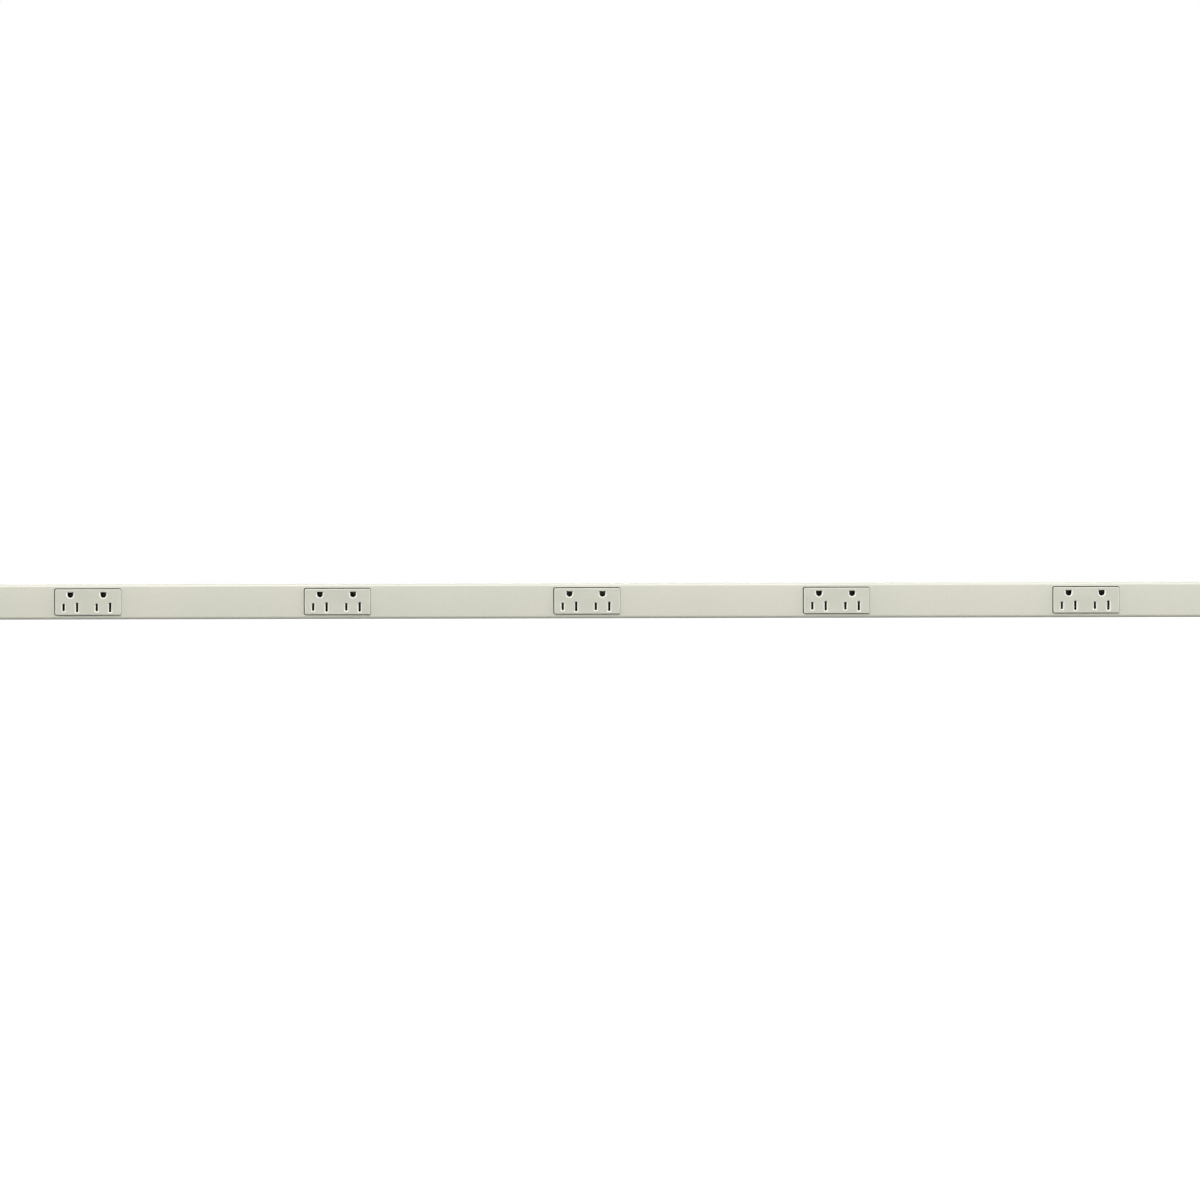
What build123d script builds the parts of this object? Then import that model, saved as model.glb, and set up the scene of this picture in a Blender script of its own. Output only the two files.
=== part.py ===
from build123d import *
import os
from math import radians, tan

# Pre-wired metal raceway: a steel base and its cover, which carry a row of duplex receptacles.
# All sizes are in millimetres. +X runs along the raceway and +Z is up, as it hangs on a wall.
# The wall is the plane Y = 0, and every "height" below is the distance from the wall into the room.

# Raceway, outside sizes
receptacle_count = 5
receptacle_pitch = 236.2
end_length = 137.2  # from the centre of the last receptacle to the end of the raceway
raceway_width = 33.3
raceway_depth = 19.05

# Sheet steel of the base and the cover
sheet = 1.0
cover_bend = 1.8  # inside radius
base_bend = 0.7  # inside radius
cover_edge_height = 0.5  # the cover's long edges stop this far from the wall
base_cover_gap = 0.15

# Rib along both sides of the cover, which springs into a groove in the base
rib_height = 4.2
rib_half_width = 1.6
rib_depth = 0.7
rib_radius = 1.0
base_side_height = 8.6
base_lip_rise = 1.1
base_lip_reach = 1.2
base_lip_radius = 0.7

# Receptacle face, the moulding that shows in the cover's opening
face_length = 62.0
face_width = 24.2
face_corner = 1.0
face_edge = 0.6  # rounding of its front edge
face_drop = 0.2  # the plate sits a little low on its flange
face_proud = 1.5  # how far it stands out of the cover
face_wall = 2.0
opening_gap = 0.7
opening_shift = -0.3  # the face sits a little right and low in its opening
opening_rise = 0.2
flange_side_gap = 0.35
flange_thickness = 2.0
flange_chamfer = 1.5  # clears the inside of the cover's bend
relief_width = 1.1  # groove round the plate, which clears the burr of the cover's opening
relief_depth = 1.2
pocket_wall = 1.65

# Outlets, two on each receptacle, with the ground hole above the blade slots
outlet_spacing = 31.3
outlet_shift = -1.05  # both outlets sit a little left of the face's centre
blade_spacing = 12.7
ground_rise = 11.8  # from the blades' centre line up to the ground pin
blade_drop = 5.2  # from the face's centre line down to the blades
slot_width = 1.9
hot_slot = 7.0
neutral_slot = 8.8
ground_radius = 2.65
ground_flat = 2.6  # from the ground pin up to the flat side of its hole
slot_corner = 0.3
funnel = 1.1  # bevel on three sides of each slot; the top is square

# Receptacle body, the rear half of the housing
body_width = 25.4
body_wall = 1.4
body_corner = 1.5
body_back_height = 1.5
body_floor = 1.0
rib_wall = 0.8
rib_clearance = 0.4
cross_wall_spacing = 11.0  # the two slotted walls that hold the contacts, either side of the post
cross_wall_height = 10.0
saddle_inset = 2.3  # from each end of the contacts to the low wall that carries it
strip_fit = 0.1
pin_relief_radius = 2.8  # lets a long ground pin through the body's floor

# Contacts, folded from brass strip
strip = 0.8
strip_bottom_height = 6.5
strip_top_height = 14.5
strip_tail = 6.3  # from the outermost leaf to the strip's end, where the wire lies against it
strip_end_gap = 0.8  # from the strip's end to the inside of the body's end wall
hot_strip_drop = 4.2  # from the blades' centre line to the near face of the hot strip
neutral_strip_rise = 4.2
ground_strip_rise = 3.1  # from the ground pin to the near face of its strip
blade_gap = 1.3
ground_gap = 4.3
blade_leaf = 6.8  # how far a leaf stands out of its strip
ground_leaf = 5.7
flare_height = 2.0
flare_reach = 0.85
bond_leg_width = 3.0
bond_leg_gap = 0.2

# Housing screw, driven from the back into the face
screw_radius = 1.3
screw_fit = 0.1
screw_head_radius = 2.5
screw_head = 1.7
screw_bite = 4.0
post_radius = 4.0
boss_radius = 2.8
post_height = 10.0

# Stops pressed into the cover's sides, which trap the receptacle's flange
stop_length = 5.0
stop_height = 2.0
stop_depth = 0.8
stop_spacing = 44.0
stop_gap = 0.05

# Wires
wire_radius = 1.6
conductor_radius = 1.03
wire_height = 8.0
wire_hole_gap = 0.15
bare_end_gap = 2.3  # from the bare end to the outermost leaf
wire_end_inset = 1.7  # the insulation stops this far inside the body's end
slack_run = 52.0  # straight lead at each end of a bay before the slack bend

# Wire clips
clip_strip = 0.5
clip_length = 8.0
clip_place = 30.0  # from the middle of a bay
clip_crown_height = 10.6
clip_crown_half = 11.5
clip_foot_height = 7.5
clip_foot_gap = 0.15

# Holes in the base
screw_hole_radius = 2.4
end_hole_inset = 19.6
knockout_radius = 11.1
knockout_slit = 0.5
knockout_tab = 2.0
knockout_place = -45.0  # from the middle of a bay
end_knockout_inset = 70.0

# Ground boss, screw and ring terminal at the feed end
boss_inset = 40.0
pad_radius = 8.0
pad_rise = 3.0
pad_slope = 35.0
ground_screw_radius = 2.4
ground_screw_fit = 0.1
ground_screw_length = 5.0
ground_washer_radius = 4.6
ground_washer = 0.8
ground_hex = 8.0
ground_hex_height = 2.6
ground_slot_width = 1.2
ground_slot_depth = 1.3
ring_radius = 4.2
ring = 0.8
barrel_radius = 2.0
barrel_length = 7.0
barrel_gap = 0.1
tail_bare = 10.0
tail_lead_share = 0.37  # straight lead of each tail, as a share of the way to the ring terminal
tail_end_share = 0.26  # the tails run straight again for this share before the ring terminal
black_tail_z = -10.2  # the black and white tails pass below the ground boss
white_tail_z = -6.6
tail_end_inset = 26.0

# End caps
cap = 0.9
cap_gap = 0.15
cap_overlap = 12.0
cap_edge = 0.6
cap_back_height = 0.3
snap_radius = 1.6
snap_inset = 6.0
snap_clearance = 0.25
snap_slope = 25.0

# Worked out from the sizes above
raceway_length = (receptacle_count - 1) * receptacle_pitch + 2 * end_length
end_x = raceway_length / 2
centres = [(n - (receptacle_count - 1) / 2) * receptacle_pitch for n in range(receptacle_count)]
bays = [(a + b) / 2 for a, b in zip(centres, centres[1:])]
cover_inside_height = raceway_depth - sheet
cover_inside_half = raceway_width / 2 - sheet
face_front_height = raceway_depth + face_proud
flange_back_height = cover_inside_height - flange_thickness
flange_half = cover_inside_half - flange_side_gap
blade_z = -blade_drop
ground_z = blade_z + ground_rise
outlets = [outlet_shift - outlet_spacing / 2, outlet_shift + outlet_spacing / 2]
cross_walls = [outlet_shift - cross_wall_spacing / 2, outlet_shift + cross_wall_spacing / 2]
hot_x = [x - blade_spacing / 2 for x in outlets]
neutral_x = [x + blade_spacing / 2 for x in outlets]
leaf_end = max(abs(hot_x[0]), abs(neutral_x[-1])) + blade_gap / 2 + strip
strip_half_length = leaf_end + strip_tail
saddle_x = strip_half_length - saddle_inset
cavity_half_length = strip_half_length + strip_end_gap
body_half_length = cavity_half_length + body_wall
cavity_half_width = body_width / 2 - body_wall
floor_height = body_back_height + body_floor
hot_strip_z = blade_z - hot_strip_drop
neutral_strip_z = blade_z + neutral_strip_rise
ground_strip_z = ground_z + ground_strip_rise
black_z = hot_strip_z + conductor_radius
white_z = neutral_strip_z + strip + conductor_radius
green_z = ground_strip_z - conductor_radius
insulation_x = body_half_length - wire_end_inset
bare_length = insulation_x - leaf_end - bare_end_gap
partition_z = (white_z + wire_radius + ground_strip_z - ground_leaf - rib_wall) / 2


def wall_plane(height, x=0):
    """A plane parallel to the wall: local x along the raceway, local y up, normal into the room."""
    return Plane(origin=(x, -height, 0), x_dir=(1, 0, 0), z_dir=(0, -1, 0))


def section_plane(x):
    """A plane across the raceway: local x is the height above the wall, local y is up."""
    return Plane(origin=(x, 0, 0), x_dir=(0, -1, 0), z_dir=(-1, 0, 0))


def level_plane(z, x=0):
    """A level plane: local x along the raceway, local y is the height above the wall, normal down."""
    return Plane(origin=(x, 0, z), x_dir=(1, 0, 0), z_dir=(0, 0, -1))


def both_sides(half_profile):
    """A half profile of (height, z) points, from one long edge to the middle, and its mirror image."""
    return half_profile + [(height, -z) for height, z in reversed(half_profile)]


def save(piece, name):
    """Labels a finished piece and writes it as one STEP file."""
    piece.part.label = name
    export_step(piece.part, f"parts/{name}.step")


def raceway_cover():
    """The U-shaped cover: a snap rib along each side, an opening for each receptacle and its stops."""
    middle = raceway_width / 2 - sheet / 2
    half_profile = [
        (cover_edge_height, middle),
        (rib_height - rib_half_width, middle),
        (rib_height, middle - rib_depth),
        (rib_height + rib_half_width, middle),
        (raceway_depth - sheet / 2, middle),
    ]
    rib_radii = [rib_radius] * 3
    bend = cover_bend + sheet / 2
    with BuildPart() as cover:
        with BuildSketch(section_plane(0)):
            with BuildLine():
                FilletPolyline(*both_sides(half_profile), radius=[*rib_radii, bend, bend, *rib_radii])
            trace(line_width=sheet)
        extrude(amount=end_x, both=True)
        # Openings for the receptacle faces
        with BuildSketch(wall_plane(raceway_depth)):
            with Locations([(x + opening_shift, opening_rise - face_drop) for x in centres]):
                RectangleRounded(
                    face_length + 2 * opening_gap,
                    face_width + 2 * opening_gap,
                    face_corner + opening_gap,
                )
        extrude(amount=-sheet, mode=Mode.SUBTRACT)
        # Stops: each is pushed in from outside, so it is a dent outside and a bump inside
        stop_places = [(x + side * stop_spacing / 2, 0) for x in centres for side in (-1, 1)]
        stop_middle = flange_back_height - stop_gap - stop_height / 2
        for side in (-1, 1):
            for inner, mode in ((cover_inside_half, Mode.ADD), (raceway_width / 2, Mode.SUBTRACT)):
                with BuildSketch(level_plane(side * inner)):
                    with Locations([(x, stop_middle) for x, _ in stop_places]):
                        Rectangle(stop_length, stop_height)
                extrude(amount=side * stop_depth, mode=mode)
        # Holes for the dimples of the end caps
        with BuildSketch(level_plane(0)):
            with Locations([(side * (end_x - snap_inset), raceway_depth / 2) for side in (-1, 1)]):
                Circle(snap_radius)
        extrude(amount=raceway_width, both=True, mode=Mode.SUBTRACT)
    return cover


def raceway_base():
    """The shallow channel that is screwed to the wall, with grooves for the cover's ribs."""
    middle = cover_inside_half - base_cover_gap - sheet / 2
    half_profile = [
        (base_side_height + base_lip_rise, middle - base_lip_reach),
        (base_side_height, middle),
        (rib_height + rib_half_width, middle),
        (rib_height, middle - rib_depth),
        (rib_height - rib_half_width, middle),
        (sheet / 2, middle),
    ]
    rib_radii = [rib_radius] * 3
    bend = base_bend + sheet / 2
    radii = [base_lip_radius, *rib_radii, bend, bend, *rib_radii, base_lip_radius]
    wall_holes = [*bays, end_hole_inset - end_x, end_x - end_hole_inset]
    knockouts = [x + knockout_place for x in bays]
    knockouts += [end_knockout_inset - end_x, end_x - end_knockout_inset]
    with BuildPart() as base:
        with BuildSketch(section_plane(0)):
            with BuildLine():
                FilletPolyline(*both_sides(half_profile), radius=radii)
            trace(line_width=sheet)
        extrude(amount=end_x, both=True)
        # Raised pad for the ground screw, hollow behind
        pad_hollow = pad_radius - sheet
        with BuildSketch(wall_plane(0)):
            with Locations((boss_inset - end_x, 0)):
                Circle(pad_radius)
        extrude(amount=pad_rise + sheet, taper=pad_slope)
        with BuildSketch(wall_plane(0)):
            with Locations((boss_inset - end_x, 0)):
                Circle(pad_hollow)
        extrude(amount=pad_rise, taper=pad_slope, mode=Mode.SUBTRACT)
        with BuildSketch(wall_plane(0)):
            with Locations((boss_inset - end_x, 0)):
                Circle(ground_screw_radius + ground_screw_fit)
            with Locations([(x, 0) for x in wall_holes]):
                Circle(screw_hole_radius)
        extrude(amount=pad_rise + sheet, mode=Mode.SUBTRACT)
        # Knockouts: a slit round each disc, which two tabs still hold
        with BuildSketch(wall_plane(0)):
            with Locations([(x, 0) for x in knockouts]):
                Circle(knockout_radius + knockout_slit / 2)
                Circle(knockout_radius - knockout_slit / 2, mode=Mode.SUBTRACT)
                Rectangle(knockout_tab, 3 * knockout_radius, mode=Mode.SUBTRACT)
        extrude(amount=sheet, mode=Mode.SUBTRACT)
    return base


def end_cap(side):
    """A cap that slips over one end of the raceway and snaps into two holes; side is -1 or 1."""
    inside = raceway_width / 2 + cap_gap
    inside_height = raceway_depth + cap_gap
    inside_corner = cover_bend + sheet + cap_gap
    plate_x = end_x + cap_gap
    with BuildPart() as cap_part:
        with BuildSketch(section_plane(side * (end_x - cap_overlap))):
            with BuildLine():
                Polyline(
                    (cap_back_height, inside + cap),
                    (inside_height + cap, inside + cap),
                    (inside_height + cap, -inside - cap),
                    (cap_back_height, -inside - cap),
                    close=True,
                )
            make_face()
            room_side = vertices().group_by(Axis.X)[-1]
            fillet(room_side, inside_corner + cap)
        extrude(amount=-side * (cap_overlap + cap_gap + cap))
        outer = faces().sort_by(Axis.X)[0 if side < 0 else -1]
        rim = outer.edges().filter_by(lambda edge: -edge.center().Y > 2 * cap_back_height)
        fillet(rim, cap_edge)
        with BuildSketch(section_plane(side * (end_x - cap_overlap))):
            with BuildLine():
                Polyline(
                    (0, inside),
                    (inside_height, inside),
                    (inside_height, -inside),
                    (0, -inside),
                    close=True,
                )
            make_face()
            room_side = vertices().group_by(Axis.X)[-1]
            fillet(room_side, inside_corner)
        extrude(amount=-side * (plate_x - end_x + cap_overlap), mode=Mode.SUBTRACT)
        # Dimples, pressed in from outside, that spring into the cover's holes
        for up in (-1, 1):
            for start, mode in ((inside, Mode.ADD), (inside + cap, Mode.SUBTRACT)):
                with BuildSketch(level_plane(up * start)):
                    with Locations((side * (end_x - snap_inset), raceway_depth / 2)):
                        Circle(snap_radius - snap_clearance)
                extrude(amount=up * (cap_gap + sheet / 2), taper=snap_slope, mode=mode)
    return cap_part


def blade_slot(length):
    """A drawing of a blade slot, to be grown on all sides."""

    def outline(grow):
        RectangleRounded(slot_width + 2 * grow, length + 2 * grow, slot_corner + grow)

    return outline


def ground_hole(grow):
    """A ground hole, round below and square above, grown on all sides."""
    Circle(ground_radius + grow)
    Rectangle(2 * (ground_radius + grow), ground_flat + grow, align=(Align.CENTER, Align.MIN))


def funnel_tool(x, z, top, outline):
    """The tool for one opening at (x, z): it runs through the plate and is a funnel in front.

    The funnel has no top side: it is cut off square at the top of the opening.
    """
    with BuildPart() as tool:
        for grow, height in ((funnel, face_front_height), (0, face_front_height - funnel)):
            with BuildSketch(wall_plane(height)):
                with Locations((x, z)):
                    outline(grow)
        loft(ruled=True)
        with BuildSketch(wall_plane(face_front_height)):
            with Locations((x, z)):
                outline(0)
        extrude(amount=-face_wall)
        split(bisect_by=Plane(origin=(0, 0, z + top), z_dir=(0, 0, 1)), keep=Keep.BOTTOM)
    return tool.part


def receptacle_face(x):
    """The front half of a duplex receptacle: a face plate on a wider flange, hollow behind."""
    with BuildPart() as face:
        with BuildSketch(wall_plane(flange_back_height, x)):
            Rectangle(2 * body_half_length, 2 * flange_half)
        extrude(amount=flange_thickness)
        front = faces().sort_by(Axis.Y)[0]
        chamfer(front.edges().filter_by(Axis.X), flange_chamfer)
        with BuildSketch(wall_plane(cover_inside_height, x)):
            with Locations((0, -face_drop)):
                RectangleRounded(face_length, face_width, face_corner)
        extrude(amount=face_front_height - cover_inside_height)
        front = faces().sort_by(Axis.Y)[0]
        fillet(front.edges(), face_edge)
        # Relief groove round the plate
        with BuildSketch(wall_plane(cover_inside_height - relief_depth, x)):
            with Locations((0, -face_drop)):
                RectangleRounded(
                    face_length + 2 * relief_width,
                    face_width + 2 * relief_width,
                    face_corner + relief_width,
                )
                RectangleRounded(face_length, face_width, face_corner, mode=Mode.SUBTRACT)
        extrude(amount=relief_depth, mode=Mode.SUBTRACT)
        # Pocket behind the face, which leaves an even wall
        with BuildSketch(wall_plane(flange_back_height, x)):
            with Locations((0, -face_drop)):
                RectangleRounded(face_length - 2 * pocket_wall, face_width - 2 * pocket_wall, face_corner)
        extrude(amount=face_front_height - face_wall - flange_back_height, mode=Mode.SUBTRACT)
        # Ribs that hold the contacts down
        hold_down_height = strip_top_height + strip_fit
        with BuildSketch(wall_plane(hold_down_height, x)):
            with Locations([(wall, 0) for wall in cross_walls]):
                Rectangle(rib_wall, 2 * (cavity_half_width - strip_fit))
        extrude(amount=face_front_height - face_wall - hold_down_height)
        # Boss for the housing screw
        with BuildSketch(wall_plane(post_height, x)):
            with Locations((outlet_shift, blade_z)):
                Circle(boss_radius)
        extrude(amount=face_front_height - face_wall - post_height)
        with BuildSketch(wall_plane(post_height, x)):
            with Locations((outlet_shift, blade_z)):
                Circle(screw_radius + screw_fit)
        extrude(amount=screw_bite + screw_fit, mode=Mode.SUBTRACT)
        # Blade slots and ground holes
        for hot, neutral, outlet in zip(hot_x, neutral_x, outlets):
            for tool in (
                funnel_tool(x + hot, blade_z, hot_slot / 2, blade_slot(hot_slot)),
                funnel_tool(x + neutral, blade_z, neutral_slot / 2, blade_slot(neutral_slot)),
                funnel_tool(x + outlet, ground_z, ground_flat, ground_hole),
            ):
                add(tool, mode=Mode.SUBTRACT)
    return face


def receptacle_body(x):
    """The rear half of a duplex receptacle: an open box with ribs between the contacts."""
    rim_height = flange_back_height
    with BuildPart() as body:
        with BuildSketch(wall_plane(body_back_height, x)):
            RectangleRounded(2 * body_half_length, body_width, body_corner)
        extrude(amount=rim_height - body_back_height)
        with BuildSketch(wall_plane(floor_height, x)):
            Rectangle(2 * cavity_half_length, 2 * cavity_half_width)
        extrude(amount=rim_height - floor_height, mode=Mode.SUBTRACT)
        # Wire holes through both end walls
        with BuildSketch(section_plane(x)):
            with Locations([(wire_height, z) for z in (black_z, white_z, green_z)]):
                Circle(wire_radius + wire_hole_gap)
        extrude(amount=body_half_length, both=True, mode=Mode.SUBTRACT)
        # Partition between the neutral and the ground, and a rib between the blades of each outlet
        with BuildSketch(wall_plane(floor_height, x)):
            with Locations((0, partition_z + rib_wall / 2)):
                Rectangle(2 * cavity_half_length, rib_wall)
            rib_low = hot_strip_z + rib_clearance
            rib_high = neutral_strip_z - rib_clearance
            with Locations([(outlet, (rib_low + rib_high) / 2) for outlet in outlets]):
                Rectangle(rib_wall, rib_high - rib_low)
        extrude(amount=strip_top_height - floor_height)
        # Low walls under the contacts' ends, and two slotted walls that hold them upright
        with BuildSketch(wall_plane(floor_height, x)):
            with Locations([(side * saddle_x, 0) for side in (-1, 1)]):
                Rectangle(rib_wall, 2 * cavity_half_width)
        extrude(amount=strip_bottom_height - floor_height)
        with BuildSketch(wall_plane(floor_height, x)):
            with Locations([(wall, 0) for wall in cross_walls]):
                Rectangle(rib_wall, 2 * cavity_half_width)
        extrude(amount=cross_wall_height - floor_height)
        with BuildSketch(wall_plane(strip_bottom_height, x)):
            strip_middles = [
                hot_strip_z - strip / 2,
                neutral_strip_z + strip / 2,
                ground_strip_z + strip / 2,
            ]
            with Locations([(wall, middle) for wall in cross_walls for middle in strip_middles]):
                Rectangle(2 * rib_wall, strip + 2 * strip_fit)
        extrude(amount=cross_wall_height - strip_bottom_height, mode=Mode.SUBTRACT)
        # Post for the housing screw
        with BuildSketch(wall_plane(body_back_height, x)):
            with Locations((outlet_shift, blade_z)):
                Circle(post_radius)
        extrude(amount=post_height - body_back_height)
        with BuildSketch(wall_plane(body_back_height, x)):
            with Locations((outlet_shift, blade_z)):
                Circle(screw_radius + screw_fit)
        extrude(amount=post_height - body_back_height, mode=Mode.SUBTRACT)
        with BuildSketch(wall_plane(body_back_height, x)):
            with Locations((outlet_shift, blade_z)):
                Circle(screw_head_radius + 2 * screw_fit)
        extrude(amount=screw_head + screw_fit, mode=Mode.SUBTRACT)
        # Openings in the floor for the ground pins and the bonding leg
        with BuildSketch(wall_plane(body_back_height, x)):
            with Locations([(outlet, ground_z) for outlet in outlets]):
                Circle(pin_relief_radius)
            with Locations((outlet_shift, ground_strip_z + strip / 2)):
                Rectangle(bond_leg_width + 2 * bond_leg_gap, strip + 2 * bond_leg_gap)
        extrude(amount=body_floor, mode=Mode.SUBTRACT)
    return body


def contact(x, strip_z, places, gap, leaf, leaf_side, bonding=False):
    """A bus strip with a pair of spring leaves at each place; leaf_side is 1 for leaves that point up."""
    with BuildPart() as piece:
        strip_low = strip_z if leaf_side < 0 else strip_z - strip
        with BuildSketch(level_plane(strip_low, x)):
            with Locations((0, strip_bottom_height)):
                Rectangle(
                    2 * strip_half_length,
                    strip_top_height - strip_bottom_height,
                    align=(Align.CENTER, Align.MIN),
                )
            if bonding:
                with Locations((outlet_shift, strip_bottom_height)):
                    Rectangle(
                        bond_leg_width,
                        strip_bottom_height - sheet,
                        align=(Align.CENTER, Align.MAX),
                    )
        extrude(amount=-strip)
        leaf_x = gap / 2 + strip / 2
        flare_start = strip_top_height - flare_height
        with BuildSketch(level_plane(strip_z, x)):
            for place in places:
                for side in (-1, 1):
                    with BuildLine():
                        Polyline(
                            (place + side * leaf_x, strip_bottom_height),
                            (place + side * leaf_x, flare_start),
                            (place + side * (leaf_x + flare_reach), strip_top_height),
                        )
                    trace(line_width=strip)
        extrude(amount=-leaf_side * leaf)
    return piece


def housing_screws():
    """The screws that hold the two halves of each receptacle together, one for each receptacle."""
    head_bottom = body_back_height + screw_fit
    with BuildPart() as screws:
        with BuildSketch(wall_plane(head_bottom)):
            with Locations([(x + outlet_shift, blade_z) for x in centres]):
                Circle(screw_head_radius)
        extrude(amount=screw_head)
        with BuildSketch(wall_plane(head_bottom)):
            with Locations([(x + outlet_shift, blade_z) for x in centres]):
                Circle(screw_radius)
        extrude(amount=post_height + screw_bite - head_bottom)
    return screws


def corner_radii(points):
    """The largest bend radius at each corner of a route that still leaves its runs partly straight."""
    radii = []
    for before, corner, after in zip(points, points[1:], points[2:]):
        turn = (Vector(corner) - Vector(before)).get_angle(Vector(after) - Vector(corner))
        shorter = min((Vector(corner) - Vector(before)).length, (Vector(after) - Vector(corner)).length)
        radii.append(0.45 * shorter / tan(radians(turn) / 2))
    return radii


def wire(route, bare_start, bare_end):
    """An insulated wire along a route of (x, height, z) points, with its conductor bare at both ends."""
    points = [(x, -height, z) for x, height, z in route]
    radii = corner_radii(points)
    with BuildPart() as piece:
        with BuildLine() as path:
            FilletPolyline(*points, radius=radii)
        with BuildSketch(Plane(origin=path.line @ 0, z_dir=path.line % 0)):
            Circle(wire_radius)
        sweep()
        for place, length in ((points[0], bare_start), (points[-1], bare_end)):
            with BuildSketch(section_plane(place[0])):
                with Locations((-place[1], place[2])):
                    Circle(conductor_radius)
            extrude(amount=length)
    length = sum(edge.length for edge in path.edges())
    print("wire", round(length, 1), "mm, tightest bend", round(min(radii), 1), "mm")
    return piece


def bay_wire(start_x, end_x_, z, sag, sway):
    """A wire between two receptacles, which hangs a little slack in its bay."""
    return wire(
        [
            (start_x, wire_height, z),
            (start_x + slack_run, wire_height - sag, z + sway),
            (end_x_ - slack_run, wire_height - 0.7 * sag, z + 0.6 * sway),
            (end_x_, wire_height, z),
        ],
        bare_length,
        -bare_length,
    )


def wire_clip(x):
    """A bowed strap of spring steel whose feet hook under the lips of the base."""
    foot = cover_inside_half - base_cover_gap - sheet - clip_foot_gap - clip_strip / 2
    half_profile = [
        (clip_foot_height, foot),
        (base_side_height - clip_strip, foot - base_lip_reach - clip_strip),
        (clip_crown_height, clip_crown_half),
    ]
    with BuildPart() as clip:
        with BuildSketch(section_plane(x)):
            with BuildLine():
                Polyline(*both_sides(half_profile))
            trace(line_width=clip_strip)
        extrude(amount=clip_length / 2, both=True)
    return clip


def ground_screw():
    """The hex washer-head ground screw in the base's raised pad."""
    x = boss_inset - end_x
    seat = pad_rise + sheet + ring
    with BuildPart() as screw:
        with BuildSketch(wall_plane(seat, x)):
            Circle(ground_washer_radius)
        extrude(amount=ground_washer)
        with BuildSketch(wall_plane(seat + ground_washer, x)):
            RegularPolygon(ground_hex / 2, 6, major_radius=False)
        extrude(amount=ground_hex_height)
        with BuildSketch(wall_plane(seat + ground_washer + ground_hex_height, x)):
            Rectangle(2 * ground_hex, ground_slot_width)
        extrude(amount=-ground_slot_depth, mode=Mode.SUBTRACT)
        with BuildSketch(wall_plane(seat, x)):
            Circle(ground_screw_radius)
        extrude(amount=-ground_screw_length + ring)
    return screw


def ring_terminal():
    """The ring terminal that is crimped to the green tail and clamped by the ground screw."""
    x = boss_inset - end_x
    seat = pad_rise + sheet
    bore = conductor_radius + barrel_gap
    with BuildPart() as terminal:
        with BuildSketch(wall_plane(seat, x)):
            Circle(ring_radius)
            with Locations((ring_radius, 0)):
                Rectangle(2 * barrel_radius, 2 * barrel_radius)
            Circle(ground_screw_radius + ground_screw_fit, mode=Mode.SUBTRACT)
        extrude(amount=ring)
        with BuildSketch(section_plane(x + ground_washer_radius + barrel_gap)):
            with Locations((seat + barrel_radius, 0)):
                Circle(barrel_radius)
        extrude(amount=-barrel_length)
        with BuildSketch(section_plane(x + ground_washer_radius + barrel_gap)):
            with Locations((seat + barrel_radius, 0)):
                Circle(bore)
        extrude(amount=-barrel_length, mode=Mode.SUBTRACT)
    return terminal


os.makedirs("parts", exist_ok=True)

save(raceway_cover(), "raceway_cover")
save(raceway_base(), "raceway_base")
save(end_cap(-1), "end_cap_left")
save(end_cap(1), "end_cap_right")

for number, centre in enumerate(centres, start=1):
    save(receptacle_face(centre), f"receptacle_face_{number}")
    save(receptacle_body(centre), f"receptacle_body_{number}")
    hot = contact(centre, hot_strip_z, hot_x, blade_gap, blade_leaf, 1)
    save(hot, f"hot_contact_{number}")
    neutral = contact(centre, neutral_strip_z, neutral_x, blade_gap, blade_leaf, -1)
    save(neutral, f"neutral_contact_{number}")
    ground = contact(centre, ground_strip_z, outlets, ground_gap, ground_leaf, -1, bonding=True)
    save(ground, f"ground_contact_{number}")
save(housing_screws(), "receptacle_screws")

# Three wires cross each bay; each colour hangs a little differently
for number, (left, right) in enumerate(zip(centres, centres[1:]), start=1):
    start, stop = left + insulation_x, right - insulation_x
    save(bay_wire(start, stop, black_z, sag=1.6, sway=0.9), f"black_wire_{number}")
    save(bay_wire(start, stop, white_z, sag=1.2, sway=-0.6), f"white_wire_{number}")
    save(bay_wire(start, stop, green_z, sag=1.9, sway=-1.1), f"green_wire_{number}")
for number, bay in enumerate(bays, start=1):
    save(wire_clip(bay + clip_place), f"wire_clip_{number}")

# Feed end: the black and white tails pass the ground boss, the green one ends in its ring terminal
tail_x = centres[0] - insulation_x
boss_x = boss_inset - end_x
tail_end_x = tail_end_inset - end_x
barrel_x = boss_x + ground_washer_radius + barrel_gap + barrel_length
barrel_height = pad_rise + sheet + barrel_radius
tail_lead = tail_lead_share * (tail_x - barrel_x)
tail_bend = tail_end_share * (tail_x - barrel_x)
for name, z, tail_z in (("black", black_z, black_tail_z), ("white", white_z, white_tail_z)):
    tail = wire(
        [
            (tail_x, wire_height, z),
            (tail_x - tail_lead, wire_height, z),
            (barrel_x + tail_bend, wire_height - 1, tail_z),
            (tail_end_x, wire_height - 1, tail_z),
        ],
        -bare_length,
        tail_bare,
    )
    save(tail, f"{name}_feed_tail")
green_tail = wire(
    [
        (tail_x, wire_height, green_z),
        (tail_x - tail_lead, wire_height, green_z),
        (barrel_x + tail_bend, barrel_height, 0),
        (barrel_x + barrel_gap, barrel_height, 0),
    ],
    -bare_length,
    barrel_length - barrel_gap,
)
save(green_tail, "green_feed_tail")
save(wire_clip(centres[0] - body_half_length - clip_length), "wire_clip_5")
save(ground_screw(), "ground_screw")
save(ring_terminal(), "ring_terminal")
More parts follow.
